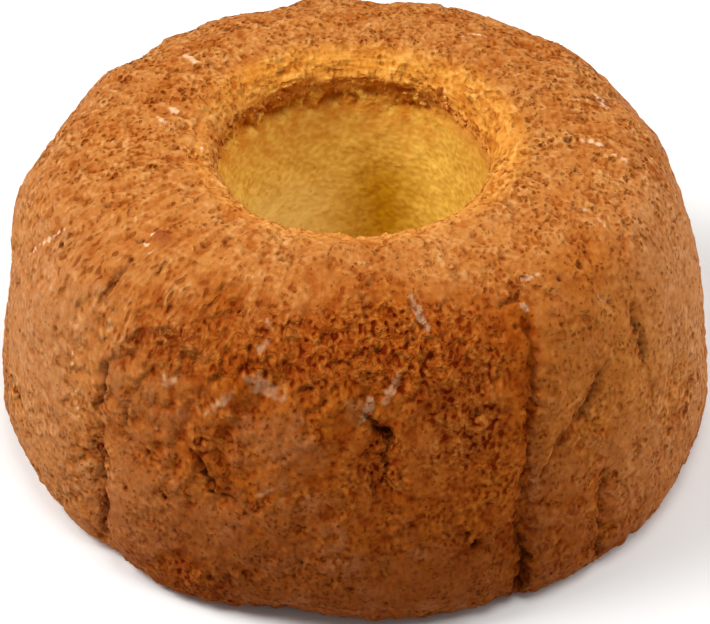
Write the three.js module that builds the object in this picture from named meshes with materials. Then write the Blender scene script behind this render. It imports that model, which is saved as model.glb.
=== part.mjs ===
// A ring cake turned out of a fluted ring tin: one closed solid, in millimetres, +Z up.
// The front faces -Y. Angles run round the ring from the front, positive towards +X, in degrees.
// Lengths along the crust are measured up its section, so that the bulge lies at its own height.
import * as THREE from 'three';
import { mergeVertices } from 'three/addons/utils/BufferGeometryUtils.js';

// Section of the ring
const baseRadius = 105;      // outer edge of the flat underside
const bulgeRadius = 110;     // widest ring, a little above the underside
const bulgeHeight = 14;
const edgeTuck = 1;          // how far the round lower edge pulls in below the bulge
const waistRadius = 106;     // half way up the side
const waistHeight = 39;
const shoulderRadius = 100;  // where the side starts to turn over
const shoulderHeight = 67;
const brimRadius = 89;       // on the turn
const brimHeight = 85.2;
const crownRadius = 54;      // highest ring, round the hole
const crownHeight = 94;
const crownFall = 1.6;       // how far the top has dropped half way out to the brim

// The hole: a rolled lip of crust, torn at its inner edge, over a bare sponge wall that narrows downwards
const tornRadius = 39.5;     // mean radius of the torn edge
const tornHeight = 86;
const tornDrop = 2.5;        // height of the torn face
const tornMiddle = -150;     // angle at the middle of the torn stretch, behind the hole
const tornReach = 60;        // the tear is whole this far to each side of it
const tornEnd = 95;          // and has closed this far to each side
const spongeRecess = 2.2;    // how far the sponge lies back under the torn crust
const throatRadius = 33;     // sponge wall half way down
const throatHeight = 38;
const footRadius = 27;       // sponge wall at the bottom
const footHeight = 4;
const undersideHole = 30;    // inner edge of the flat underside

// Steps round the ring and along each stretch of the section
const sectors = 120;
const edgeSteps = 4;
const sideSteps = 21;
const lipSteps = 6;
const spongeSteps = 13;
const undersideSteps = 3;

// Soft flutes that lean as they climb, and fade out towards the crown and the underside
const fluteCount = 18;
const fluteRise = 0.7;
const fluteLean = 0.35;      // degrees round the ring for each millimetre of climb
const fluteWander = 6;       // uneven spacing, in degrees
const wanderTurns = 3;       // how often the spacing tightens and widens round the ring
const wanderStart = 40;
const fluteTop = 118;        // length along the crust where they have faded out

// Low lumps of the baked crust and of the sponge wall, as waves round the ring that climb with its section
const crustLump = 0.45;
const spongeLump = 0.35;
const lumpWaves = [
  { turns: 5, climb: 17, start: 0, share: 0.5 },
  { turns: 8, climb: -13, start: 2, share: 0.5 },
  { turns: 13, climb: 9, start: 1, share: 0.35 },
  { turns: 21, climb: -6, start: 0, share: 0.35 },
];

// Waves that make the torn edge ragged
const tearWaves = [
  { turns: 7, start: 1, share: 0.5 },
  { turns: 11, start: 0, share: 0.4 },
  { turns: 19, start: 2, share: 0.3 },
];

// Points closer than this are one
const weld = 0.001;

// Up to this height above the flat underside the relief mostly moves the crust sideways
const flatMargin = 7;

// Swells (rise above zero) and dents (below zero) pressed into the crust, with their half widths
const swells = [
  { angle: -58, along: 4, halfAngle: 15, halfLength: 15, rise: -2.0 },
  { angle: -42, along: 2, halfAngle: 5, halfLength: 12, rise: -1.4 },
  { angle: -25, along: 0, halfAngle: 7, halfLength: 12, rise: 1.2 },
  { angle: -10, along: 0, halfAngle: 7, halfLength: 9, rise: -4.0 },
  { angle: 3, along: 0, halfAngle: 8, halfLength: 8, rise: -1.6 },
  { angle: 44, along: 4, halfAngle: 14, halfLength: 20, rise: 1.2 },
  { angle: -84, along: 22, halfAngle: 6, halfLength: 16, rise: -1.6 },
  { angle: 83, along: 22, halfAngle: 8, halfLength: 18, rise: -1.4 },
  { angle: -96, along: 70, halfAngle: 6, halfLength: 16, rise: 1.4 },
  { angle: -107, along: 80, halfAngle: 6, halfLength: 20, rise: -2.0 },
  { angle: -132, along: 90, halfAngle: 7, halfLength: 18, rise: -1.4 },
  { angle: 97, along: 72, halfAngle: 7, halfLength: 18, rise: -2.0 },
  { angle: 114, along: 84, halfAngle: 6, halfLength: 18, rise: -2.0 },
  { angle: 174, along: 93, halfAngle: 6, halfLength: 16, rise: -1.2 },
  { angle: -160, along: 93, halfAngle: 7, halfLength: 16, rise: -1.0 },
];

// Cracks and creases in the side, each a groove along a straight run
const cracks = [
  { from: [-42, 6], to: [-45, 40], halfWidth: 4.2, depth: 2.6 },
  { from: [24, 4], to: [25, 30], halfWidth: 3.8, depth: 2.8 },
  { from: [28, 41], to: [50, 71], halfWidth: 6.5, depth: 1.3 },
  { from: [40, 8], to: [41, 35], halfWidth: 4.0, depth: 1.4 },
  { from: [53, 60], to: [54, 88], halfWidth: 5.5, depth: 1.2 },
  { from: [-26, 55], to: [-21, 43], halfWidth: 5.0, depth: 1.7 },
  { from: [4, 46], to: [4, 72], halfWidth: 5.5, depth: 1.2 },
  { from: [-50, 48], to: [-53, 72], halfWidth: 5.5, depth: 1.0 },
];

const at = (radius, height) => new THREE.Vector2(radius, height);
const fade = THREE.MathUtils.smoothstep;

// Shortest turn from one angle to another, in degrees
function turn(from, to) {
  return THREE.MathUtils.euclideanModulo(to - from + 180, 360) - 180;
}

function bell(offset, halfWidth) {
  return Math.exp(-((offset / halfWidth) ** 2));
}

// The section as stretches of curve, from the underside's outer edge over the crust and down the hole
function sectionStretches() {
  const edge = new THREE.QuadraticBezierCurve(
    at(baseRadius, 0),
    at(bulgeRadius - edgeTuck, 0),
    at(bulgeRadius, bulgeHeight),
  );
  const side = new THREE.SplineCurve([
    at(bulgeRadius, bulgeHeight),
    at(waistRadius, waistHeight),
    at(shoulderRadius, shoulderHeight),
    at(brimRadius, brimHeight),
    at((brimRadius + crownRadius) / 2, crownHeight - crownFall),
    at(crownRadius, crownHeight),
  ]);
  const lip = new THREE.EllipseCurve(
    crownRadius,
    tornHeight,
    crownRadius - tornRadius,
    crownHeight - tornHeight,
    Math.PI / 2,
    Math.PI,
  );
  const torn = new THREE.LineCurve(at(tornRadius, tornHeight), at(tornRadius, tornHeight - tornDrop));
  const sponge = new THREE.SplineCurve([
    at(tornRadius, tornHeight - tornDrop),
    at(throatRadius, throatHeight),
    at(footRadius, footHeight),
  ]);
  const toe = new THREE.LineCurve(at(footRadius, footHeight), at(undersideHole, 0));
  const underside = new THREE.LineCurve(at(undersideHole, 0), at(baseRadius, 0));
  return [
    { kind: 'crust', curve: edge, steps: edgeSteps },
    { kind: 'crust', curve: side, steps: sideSteps },
    { kind: 'crust', curve: lip, steps: lipSteps },
    { kind: 'torn', curve: torn, steps: 1 },
    { kind: 'sponge', curve: sponge, steps: spongeSteps },
    { kind: 'underside', curve: toe, steps: 1 },
    { kind: 'underside', curve: underside, steps: undersideSteps },
  ];
}

// Section points in order, each with its stretch, its length along the crust and its outward normal
function sectionPoints() {
  const points = [];
  for (const { kind, curve, steps } of sectionStretches()) {
    const spaced = curve.getSpacedPoints(steps);
    for (let step = 0; step < steps; step += 1) {
      points.push({ kind, place: spaced[step] });
    }
  }
  const count = points.length;
  let along = 0;
  points.forEach((point, index) => {
    const before = points[(index + count - 1) % count].place;
    const after = points[(index + 1) % count].place;
    const run = after.clone().sub(before);
    const upright = fade(point.place.y, 0, flatMargin);
    point.normal = at(run.y, -run.x * upright).normalize();
    along += index === 0 ? 0 : point.place.distanceTo(before);
    point.along = along;
  });
  const bulge = points[edgeSteps].along;
  for (const point of points) {
    point.along += bulgeHeight - bulge;
  }
  points.push(points[0]);
  return points;
}

function fluteLift(angle, along) {
  const wander = fluteWander * Math.sin(THREE.MathUtils.degToRad(wanderTurns * angle + wanderStart));
  const lean = fluteLean * (along - brimHeight);
  const phase = THREE.MathUtils.degToRad(fluteCount * (angle - lean) + fluteCount * wander);
  const reach = fade(along, 0, shoulderHeight) * (1 - fade(along, brimHeight, fluteTop));
  return fluteRise * reach * Math.cos(phase);
}

function lumpLift(angle, along) {
  const around = THREE.MathUtils.degToRad(angle);
  let lift = 0;
  for (const { turns, climb, start, share } of lumpWaves) {
    lift += share * Math.sin(turns * around + along / climb + start);
  }
  return lift;
}

function swellLift(angle, along) {
  let lift = 0;
  for (const swell of swells) {
    const round = bell(turn(swell.angle, angle), swell.halfAngle);
    lift += swell.rise * round * bell(along - swell.along, swell.halfLength);
  }
  return lift;
}

// Depth of the cracks at a place on the crust, from its distance to each run
function crackDepth(angle, along, radius) {
  const perDegree = THREE.MathUtils.degToRad(radius);
  let depth = 0;
  for (const crack of cracks) {
    const run = at(turn(crack.from[0], crack.to[0]) * perDegree, crack.to[1] - crack.from[1]);
    const place = at(turn(crack.from[0], angle) * perDegree, along - crack.from[1]);
    const share = THREE.MathUtils.clamp(place.dot(run) / run.lengthSq(), 0, 1);
    const away = place.distanceTo(run.multiplyScalar(share));
    depth = Math.max(depth, crack.depth * bell(away, crack.halfWidth));
  }
  return depth;
}

// One where the crust is torn away from the sponge, round the back of the hole, and zero at the front
function tornShare(angle) {
  return 1 - fade(Math.abs(turn(tornMiddle, angle)), tornReach, tornEnd);
}

// Unevenness of the torn edge, strongest at the edge itself
function tearLift(angle, radius) {
  const around = THREE.MathUtils.degToRad(angle);
  let lift = 0;
  for (const { turns, start, share } of tearWaves) {
    lift += share * Math.sin(turns * around + start);
  }
  const nearEdge = 1 - fade(radius, tornRadius, (tornRadius + crownRadius) / 2);
  return lift * nearEdge * tornShare(angle);
}

// How far a section point moves along its normal at an angle round the ring
function liftAt(point, angle) {
  const { kind, place, along } = point;
  if (kind === 'underside') {
    return 0;
  }
  if (kind === 'sponge') {
    const recess = spongeRecess * tornShare(angle) * fade(place.y, throatHeight, tornHeight - tornDrop);
    return spongeLump * lumpLift(angle, along) - recess;
  }
  const ragged = tearLift(angle, place.x);
  if (kind === 'torn') {
    return ragged;
  }
  const crust = fluteLift(angle, along) + crustLump * lumpLift(angle, along) + swellLift(angle, along);
  return crust - crackDepth(angle, along, place.x) + ragged;
}

function ringGeometry() {
  const section = sectionPoints();
  const ring = new THREE.LatheGeometry(section.map((point) => point.place), sectors);
  const position = ring.getAttribute('position');
  for (let index = 0; index < position.count; index += 1) {
    const point = section[index % section.length];
    const angle = (Math.floor(index / section.length) * 360) / sectors;
    const lift = liftAt(point, turn(0, angle));
    const radius = point.place.x + lift * point.normal.x;
    const height = point.place.y + lift * point.normal.y;
    const around = THREE.MathUtils.degToRad(turn(0, angle));
    position.setXYZ(index, radius * Math.sin(around), height, radius * Math.cos(around));
  }
  ring.deleteAttribute('normal');
  ring.deleteAttribute('uv');
  const solid = mergeVertices(ring, weld);
  solid.rotateX(Math.PI / 2);
  solid.computeBoundingBox();
  const middle = solid.boundingBox.getCenter(new THREE.Vector3());
  solid.translate(-middle.x, -middle.y, -solid.boundingBox.min.z);
  solid.computeVertexNormals();
  return solid;
}

const crustMaterial = new THREE.MeshStandardMaterial({ color: 0xb46c2c, roughness: 0.8, metalness: 0 });
const cake = new THREE.Mesh(ringGeometry(), crustMaterial);
cake.name = 'cake';

const bundtCake = new THREE.Group();
bundtCake.add(cake);

export default bundtCake;
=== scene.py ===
import math
import random
import bmesh
import bpy
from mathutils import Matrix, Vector, noise
from mathutils.bvhtree import BVHTree


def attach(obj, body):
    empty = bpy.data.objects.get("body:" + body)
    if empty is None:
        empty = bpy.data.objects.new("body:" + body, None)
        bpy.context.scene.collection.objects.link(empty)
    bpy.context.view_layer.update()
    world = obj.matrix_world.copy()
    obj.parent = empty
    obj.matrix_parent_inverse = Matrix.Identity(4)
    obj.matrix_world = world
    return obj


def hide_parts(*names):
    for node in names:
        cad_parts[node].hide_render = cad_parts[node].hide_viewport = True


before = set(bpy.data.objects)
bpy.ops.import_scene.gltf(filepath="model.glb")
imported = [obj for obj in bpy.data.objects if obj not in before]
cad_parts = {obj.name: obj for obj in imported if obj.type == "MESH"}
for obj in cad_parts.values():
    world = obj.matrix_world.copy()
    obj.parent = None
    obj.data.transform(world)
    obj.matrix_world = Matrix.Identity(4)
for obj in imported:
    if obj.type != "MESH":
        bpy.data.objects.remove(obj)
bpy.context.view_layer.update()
scene = bpy.context.scene
mm = 0.001
print("frame loaded:", sorted(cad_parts))


# Small helpers for node trees, shared by the shapes and the materials

class Wire:  # an output socket that can be added, multiplied and so on: each step is one Math node
    def __init__(self, tree, socket):
        self.tree = tree
        self.socket = socket

    def maths(self, operation, *others):
        made = addNode(self.tree, "ShaderNodeMath", {}, operation=operation)
        for spot, value in zip(made.inputs, (self, *others)):
            plug(self.tree, spot, value)
        return Wire(self.tree, made.outputs[0])

    def __add__(self, other):
        return self.maths("ADD", other)

    def __sub__(self, other):
        return self.maths("SUBTRACT", other)

    def __mul__(self, other):
        return self.maths("MULTIPLY", other)

    def __truediv__(self, other):
        return self.maths("DIVIDE", other)

    def __rtruediv__(self, other):
        return self.maths("POWER", -1.0) * other

    def __neg__(self):
        return self * -1.0

    def flipped(self):  # one minus this
        return self * -1.0 + 1.0

    def capped(self):  # held between zero and one
        return self.maths("MINIMUM", 1.0).maths("MAXIMUM", 0.0)

    def bell(self, halfWidth):  # one at zero, falling off over the half width
        share = self / halfWidth
        return (share * share * -1.0).maths("EXPONENT")

    def fade(self, low, high):  # zero at low, one at high, smooth between; low may be the larger
        made = addNode(self.tree, "ShaderNodeMapRange", {"Value": self, "From Min": low, "From Max": high},
                       interpolation_type="SMOOTHSTEP")
        return Wire(self.tree, made.outputs["Result"])


def plug(tree, spot, value):
    if isinstance(value, Wire):
        value = value.socket
    if isinstance(value, bpy.types.NodeSocket):
        tree.links.new(value, spot)
    else:
        spot.default_value = value


def shownSocket(sockets, name):
    return next(socket for socket in sockets if socket.name == name and socket.enabled)


def addNode(tree, kind, inputs, **settings):
    made = tree.nodes.new(kind)
    for name, value in settings.items():
        setattr(made, name, value)
    for name, value in inputs.items():
        plug(tree, shownSocket(made.inputs, name), value)
    return made


def vectorMaths(tree, operation, *values):
    made = addNode(tree, "ShaderNodeVectorMath", {}, operation=operation)
    for spot, value in zip([spot for spot in made.inputs if spot.enabled], values):
        plug(tree, spot, value)
    return next(socket for socket in made.outputs if socket.enabled)


def scaled(tree, vector, factor):
    return vectorMaths(tree, "SCALE", vector, factor)


def joinedUp(tree, x, y, z):
    return addNode(tree, "ShaderNodeCombineXYZ", {"X": x, "Y": y, "Z": z}).outputs[0]


def parts(tree, vector):
    made = addNode(tree, "ShaderNodeSeparateXYZ", {"Vector": vector})
    return [Wire(tree, socket) for socket in made.outputs]


def shifted(tree, vector, shift):  # another part of the same pattern
    return vectorMaths(tree, "ADD", vector, (shift, shift * 0.7, -shift)) if shift else vector


def noiseNode(tree, vector, size, detail, roughness, shift):  # size is in the vector's own unit
    return addNode(tree, "ShaderNodeTexNoise",
                   {"Vector": shifted(tree, vector, shift), "Scale": 1.0 / size, "Detail": detail,
                    "Roughness": roughness})


def noiseAt(tree, vector, size, detail=2.0, roughness=0.5, shift=0.0):  # about 0.5, give or take 0.3
    return Wire(tree, noiseNode(tree, vector, size, detail, roughness, shift).outputs[0])


def stirred(tree, vector, size, reach, detail=0.0):  # the vector pushed about by a slow noise
    push = noiseNode(tree, vector, size, detail, 0.5, 0.0).outputs["Color"]
    push = vectorMaths(tree, "SUBTRACT", push, (0.5, 0.5, 0.5))
    return vectorMaths(tree, "ADD", vector, scaled(tree, push, reach * 2.0))


def cellsAt(tree, vector, size, shift=0.0):  # distance from a cell's middle, in cells
    made = addNode(tree, "ShaderNodeTexVoronoi",
                   {"Vector": shifted(tree, vector, shift), "Scale": 1.0 / size})
    return Wire(tree, made.outputs["Distance"])


# The ring's own coordinates: an angle round it from the front, and a tilt about its core, both in degrees

ringCore = {"radius": 62.0, "height": 30.0}  # middle of the ring's section, mm
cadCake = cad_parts["cake"]


def mergedCopy():  # the frame's ring is loose triangles, so a copy is merged first
    shape = bmesh.new()
    shape.from_mesh(cadCake.data)
    bmesh.ops.remove_doubles(shape, verts=shape.verts, dist=0.01 * mm)
    return shape


crustSurface = BVHTree.FromBMesh(mergedCopy())


def onCrust(angle, tilt):  # the point of the crust that the core sees in that direction
    around = math.radians(angle)
    up = math.radians(tilt)
    outward = Vector((math.sin(around), -math.cos(around), 0.0))
    start = outward * ringCore["radius"] * mm + Vector((0.0, 0.0, ringCore["height"] * mm))
    way = outward * math.cos(up) + Vector((0.0, 0.0, math.sin(up)))
    return crustSurface.ray_cast(start, way)[0]


# Marks worked into the crust: points with a reach and a depth, which the relief further down reads

crackMarks = {
    "step": 0.4,  # mm between points along a crack
    "wander": 1.0,  # degrees that a crack strays from side to side
    "runs": [  # knots of angle, tilt, half width in mm, depth in mm
        [(-43, -25, 0.6, 2.0), (-42.5, -10, 0.6, 2.0), (-44, 5, 0.5, 1.6), (-44, 14, 0.5, 1.0), (-44, 24, 0.4, 0.6)],
        [(-49, 73, 0.6, 0.8), (-49, 67, 0.8, 1.2), (-49.5, 62, 0.8, 1.2), (-50, 57, 0.6, 0.7)],
        [(26, -33, 0.8, 2.6), (26, -20, 0.8, 2.8), (26, -8, 0.6, 1.6), (26.3, 2, 0.5, 0.8)],
        [(40, -29, 0.5, 1.2), (40, -11, 0.5, 1.4), (41.5, 1, 0.5, 1.2), (42, 9, 0.4, 0.6)],
        [(-27, 33, 0.4, 0.6), (-25.5, 29, 0.5, 1.8), (-24, 25, 0.5, 1.8), (-22, 19, 0.5, 1.8), (-22, 16, 0.4, 1.4),
         (-18, 16, 0.4, 0.9), (-14, 17, 0.4, 0.5)],
        [(28, 71, 0.6, 0.7), (30, 72, 0.7, 1.2), (33, 72, 0.7, 1.3), (35, 74, 0.5, 0.7)],
        [(1.5, 50, 0.6, 1.2), (3.5, 46, 0.9, 2.2), (5, 43, 0.9, 2.2), (5, 38, 0.7, 1.4), (4.5, 30, 0.6, 1.0),
         (5, 22, 0.5, 0.6)],
        [(-36, 46, 0.5, 0.6), (-38, 38, 0.6, 0.9), (-39, 24, 0.5, 0.6)],
        [(-45.5, 48, 0.4, 0.5), (-44, 43, 0.7, 1.7), (-44, 36, 0.7, 1.9), (-44.5, 30, 0.5, 1.2), (-45, 26, 0.4, 0.5)],
        [(55, 56, 0.4, 0.4), (54, 48, 0.7, 1.5), (53.5, 42, 0.6, 1.3), (53, 34, 0.4, 0.6)],
        [(46, 45, 0.5, 0.8), (43, 41, 0.5, 1.0), (41, 37, 0.6, 1.4), (39, 34, 0.7, 1.6), (36.5, 32, 0.6, 1.0),
         (34, 27, 0.5, 0.8), (31.5, 20, 0.5, 0.7), (29.5, 13, 0.4, 0.4)],
        [(34, 70, 0.4, 0.4), (32, 63, 0.5, 0.8), (30.3, 54, 0.5, 0.9), (29, 44, 0.5, 0.8), (28.5, 34, 0.5, 1.0),
         (28, 22, 0.6, 1.3), (27, 9, 0.5, 1.0), (26.3, 2, 0.4, 0.5)],
        [(18, 0, 0.6, 1.6), (17.5, -3, 0.6, 1.6)],
        [(118, -22, 0.7, 2.0), (116, 0, 0.7, 2.0), (117, 16, 0.5, 1.0)],
        [(160, 10, 0.5, 1.0), (168, 30, 0.6, 1.3), (174, 46, 0.5, 0.9)],
        [(-150, -30, 0.7, 2.2), (-151, -8, 0.7, 2.0), (-149, 12, 0.5, 1.0)],
        [(-112, -6, 0.5, 1.2), (-110, 14, 0.5, 1.2), (-106, 34, 0.5, 0.8)],
        [(-176, -27, 0.6, 1.4), (-177, -6, 0.6, 1.2)],
        [(84, -26, 0.5, 1.2), (85, -8, 0.5, 1.2)],
    ],
}

foldMarks = {  # wide soft grooves, given the same way
    "step": 0.6,
    "wander": 1.4,
    "runs": [
        [(35, 73, 1.2, 0.4), (32, 63, 1.6, 0.8), (30, 51, 2.0, 1.3), (28.5, 36, 2.2, 1.6), (28, 22, 2.4, 1.8),
         (27, 7, 2.2, 1.8), (26, -2, 1.8, 1.4), (26, -26, 1.6, 1.4)],
        [(47, 47, 1.2, 0.3), (45, 44, 1.5, 0.7), (40, 38, 1.8, 1.2), (34, 27, 1.8, 1.2), (29.5, 13, 1.5, 0.8)],
        [(54, 60, 1.6, 0.3), (54, 54, 2.0, 0.9), (53, 45, 2.2, 1.2), (53, 30, 1.8, 0.8), (54, 16, 1.5, 0.3)],
        [(-43, -25, 2.0, 1.4), (-42.5, -10, 2.2, 1.4), (-44, 5, 2.0, 1.3), (-44.5, 24, 1.8, 0.9), (-45, 31, 1.8, 0.8),
         (-44, 44, 2.2, 1.0), (-40, 52, 2.2, 0.9), (-34, 59, 2.0, 0.5)],
        [(4, 44, 2.0, 1.6), (4, 30, 2.6, 1.4), (4.5, 16, 2.8, 1.1), (5, 4, 2.2, 0.5)],
        [(-20.5, 22, 2.4, 1.2), (-19, 19, 2.8, 1.3), (-17, 19, 2.2, 0.7)],
        [(42, 6, 1.0, 0.4), (40.5, -11, 1.4, 0.9), (40, -29, 1.4, 1.0)],
        [(-25, 50, 1.6, 0.6), (-28, 42, 2.0, 1.2), (-29, 34, 2.0, 1.2), (-28.5, 27, 1.6, 0.8)],
        [(-13, 60, 1.6, 0.4), (-15, 54, 2.6, 1.2), (-17.5, 47, 2.6, 1.4), (-20, 40, 2.4, 1.3), (-21, 32, 2.2, 1.1),
         (-20.5, 25, 2.2, 1.0)],
        [(118, -24, 2.0, 1.5), (116, 2, 2.2, 1.5), (117, 30, 2.0, 0.9), (121, 52, 1.6, 0.4)],
        [(150, -10, 1.6, 0.5), (160, 10, 2.0, 1.1), (170, 32, 2.2, 1.2), (176, 52, 1.8, 0.5)],
        [(-150, -28, 2.0, 1.4), (-151, -4, 2.2, 1.4), (-148, 22, 2.2, 1.0), (-142, 46, 1.8, 0.5)],
        [(-112, -10, 1.6, 0.7), (-110, 14, 2.0, 1.0), (-105, 38, 1.8, 0.7), (-100, 56, 1.4, 0.3)],
        [(-176, -26, 1.8, 1.2), (-177, 2, 2.0, 1.0), (-174, 28, 1.6, 0.4)],
        [(84, -26, 1.6, 0.9), (85, -4, 1.8, 1.0), (82, 20, 1.6, 0.5)],
        [(-75, -20, 1.6, 0.8), (-77, 6, 2.0, 0.9), (-78, 30, 1.6, 0.4)],
    ],
}

pitMarks = {  # angle, tilt, radius in mm, depth in mm; a depth below zero is a knob
    "spots": [
        (-53, 78, 1.0, 2.4), (43, 71, 0.9, 2.2), (49, 71, 1.1, 2.4), (53, 73, 0.7, 1.6), (50, 59, 0.7, 1.6),
        (62, 20, 1.1, 2.2), (62, 16, 1.0, 2.0), (68, 18, 0.8, 1.6), (4, 66, 0.9, 1.8), (6, 73, 0.6, 1.2),
        (3, 48, 0.7, 1.4), (4.5, 41, 0.6, 1.2), (-108, 80, 0.9, 2.2), (132, 81, 0.9, 2.2),
        (90, 90, 1.0, 2.2), (30, 65, 0.7, 1.6), (18, -2, 0.9, 1.6), (-30, 8, 0.6, 1.2), (-34, 23, 0.9, 1.4),
        (-68, -1, 1.4, 1.8), (-22, -18, 1.2, 1.6), (-19, -16, 1.0, 1.4), (110, 80, 0.8, 1.2), (122, 83, 0.8, 1.4),
        (128, 50, 1.0, 1.8), (170, 66, 0.9, 1.8), (-165, 40, 1.1, 1.8), (-140, 55, 0.9, 1.6), (-128, 20, 1.0, 1.4),
        (100, 30, 1.0, 1.6), (85, 55, 0.9, 1.4), (-49.5, 82, 2.5, -2.4), (-70, -4, 1.6, -0.8), (-26, -17, 1.5, -0.9),
        (-27, -10, 1.2, -0.8), (150, 70, 1.6, -0.8),
    ],
    "scattered": 340,  # small pits over the rest of the crust
    "radius": (0.4, 0.85),  # of a small pit, mm
    "depth": (0.8, 1.6),  # of a small pit, as a share of its radius
    "tilt": (-28, 100),  # where the small pits lie, degrees
    "seed": 7,
}

scuffHighlightMarks = {  # pale scuffs, with painted highlights on their crests: angle and tilt at the start, at the end, half width in mm, strength
    "strokes": [
        (-69, 64, -76, 48, 1.1, 1.0), (-53, 44, -49, 20, 0.9, 0.9), (-58, 40, -56, 30, 0.8, 0.4),
        (-131, 82, -130, 89, 1.6, 0.8), (-102, 92, -99, 95, 1.2, 0.8), (-106, 95, -104, 98, 1.2, 0.7),
        (-88, 106, -86, 106, 0.9, 0.7), (115, 93, 115, 92, 0.9, 0.8), (115, 89, 116, 87, 0.8, 0.7),
        (112, 74, 105, 76, 1.9, 0.7), (90, 87, 89, 81, 1.2, 0.8), (86, 78, 85, 74, 1.0, 0.8),
        (66, 92, 66, 91, 0.7, 0.7), (64, 81, 64, 80, 0.8, 0.7), (63, 77, 62, 74, 0.9, 0.6),
        (36, 76, 40, 75, 1.3, 0.8), (33, 70, 34, 68, 1.3, 0.7), (48, 62, 49, 59, 1.0, 0.5),
        (38, 41, 37, 36, 0.8, 0.4), (29, 14, 28, 20, 0.8, 0.5), (-15, 20, -11, 26, 1.4, 0.5),
        (-17, 63, -15, 67, 1.9, 0.7), (-18, 56, -12, 53, 3.4, 0.62), (-24, 44, -20, 52, 1.7, 0.7),
        (12, 80, 13.5, 69, 1.5, 0.8), (7, 59, 5, 53, 2.0, 0.7), (3, 54, 1, 48, 2.2, 0.75),
        (-17, 72, -16, 70, 1.0, 0.8), (-48, 76, -48, 78, 0.8, 0.8), (-52, 81, -51.5, 82, 0.9, 1.0),
        (-51, 78, -50, 78, 0.9, 1.0), (-33, 48, -31, 50, 3.0, 0.58), (149, 89, 144, 84, 1.1, 0.7),
        (100, 66, 100, 64, 0.8, 0.6), (-113, 72, -113, 74, 1.0, 0.6), (150, 30, 153, 16, 1.0, 0.5),
        (-160, 72, -166, 66, 1.2, 0.7), (178, 60, 176, 48, 1.0, 0.6), (-140, 30, -142, 18, 0.9, 0.5),
        (120, 20, 122, 8, 0.9, 0.5),
    ],
    "points": 9,  # along each stroke
    "endWidth": 0.6,  # share of the half width that is left at a stroke's ends
}

# Where the tin pulled the outer skin away (below zero) or left it whole (above zero):
# angle, tilt, half angle, half tilt, amount
skinPatches = [
    (0, 66, 30, 14, -1.20), (18, 36, 9, 24, -0.90), (3, 32, 4, 16, -0.80),
    (-48, 34, 3, 14, -0.50), (-44.5, 14, 3, 12, -0.80), (-24.5, 34, 2.5, 10, -0.80),
    (62, 12, 6, 14, -0.60), (40, 30, 5, 12, -0.55), (-27, -19, 5, 6, -1.40), (-69, -2, 4, 6, -0.90),
    (-36, 56, 10, 8, -0.60), (-70, 84, 34, 14, -0.55), (-150, 82, 40, 12, -0.45), (120, 84, 50, 12, -0.40),
    (25, -6, 3, 20, -0.45), (72, 40, 12, 30, 0.50), (-64, 20, 10, 30, 0.55),
    (-35, -8, 9, 16, 0.55), (-13, 28, 12, 10, -0.25), (6, -20, 22, 12, 0.30), (46, -14, 9, 12, 0.30),
    (110, 56, 12, 16, 0.40), (1, 52, 3, 5, 0.90), (-12, 40, 8, 6, 0.40), (-145, 10, 20, 24, 0.35),
]


def addObject(name, data):
    made = bpy.data.objects.new(name, data)
    scene.collection.objects.link(made)
    return made


def markCloud(name, points):  # loose points with a reach and a depth
    mesh = bpy.data.meshes.new(name)
    mesh.from_pydata([spot for spot, reach, depth in points], [], [])
    for label, column in (("reach", 1), ("depth", 2)):
        values = mesh.attributes.new(label, "FLOAT", "POINT")
        values.data.foreach_set("value", [point[column] for point in points])
    return addObject(name, mesh)


def crackPoints(marks):
    points = []
    for number, knots in enumerate(marks["runs"]):
        for first, last in zip(knots, knots[1:]):
            length = (onCrust(*last[:2]) - onCrust(*first[:2])).length / mm
            count = max(2, round(length / marks["step"]))
            for step in range(count):
                angle, tilt, reach, depth = (a + (b - a) * step / count for a, b in zip(first, last))
                # a slow sway with a quick one on it, and an uneven width, different for each run
                sway = noise.noise(Vector((angle * 0.3, tilt * 0.3, number * 3.1)))
                sway += 0.6 * noise.noise(Vector((angle, tilt, number * 1.7)))
                reach *= 1.0 + 0.5 * noise.noise(Vector((tilt * 0.5, angle * 0.5, number * 2.3)))
                points.append((onCrust(angle + marks["wander"] * sway, tilt), reach, depth))
    return points


def pitPoints(marks):
    points = [(onCrust(angle, tilt), radius, depth) for angle, tilt, radius, depth in marks["spots"]]
    draw = random.Random(marks["seed"])
    for number in range(marks["scattered"]):
        radius = draw.uniform(*marks["radius"])
        angle = draw.uniform(-180, 180)
        tilt = draw.uniform(*marks["tilt"])
        points.append((onCrust(angle, tilt), radius, radius * draw.uniform(*marks["depth"])))
    return points


def scuffHighlightPoints(marks):
    points = []
    ends = marks["endWidth"]
    for startAngle, startTilt, endAngle, endTilt, reach, strength in marks["strokes"]:
        for step in range(marks["points"]):
            share = step / (marks["points"] - 1)
            angle = startAngle + (endAngle - startAngle) * share
            tilt = startTilt + (endTilt - startTilt) * share
            width = ends + (1.0 - ends) * math.sin(math.pi * share)
            points.append((onCrust(angle, tilt), reach * width, strength))
    return points


markClouds = {
    "Cracks": markCloud("crackCloud", crackPoints(crackMarks)),
    "Folds": markCloud("foldCloud", crackPoints(foldMarks)),
    "Pits": markCloud("pitCloud", pitPoints(pitMarks)),
    "ScuffHighlights": markCloud("scuffCloud", scuffHighlightPoints(scuffHighlightMarks)),
}
print("marks placed:", [len(cloud.data.vertices) for cloud in markClouds.values()])


# The cake: the frame's ring made smooth, with crumb, cracks, pits and torn edges worked into it

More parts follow.
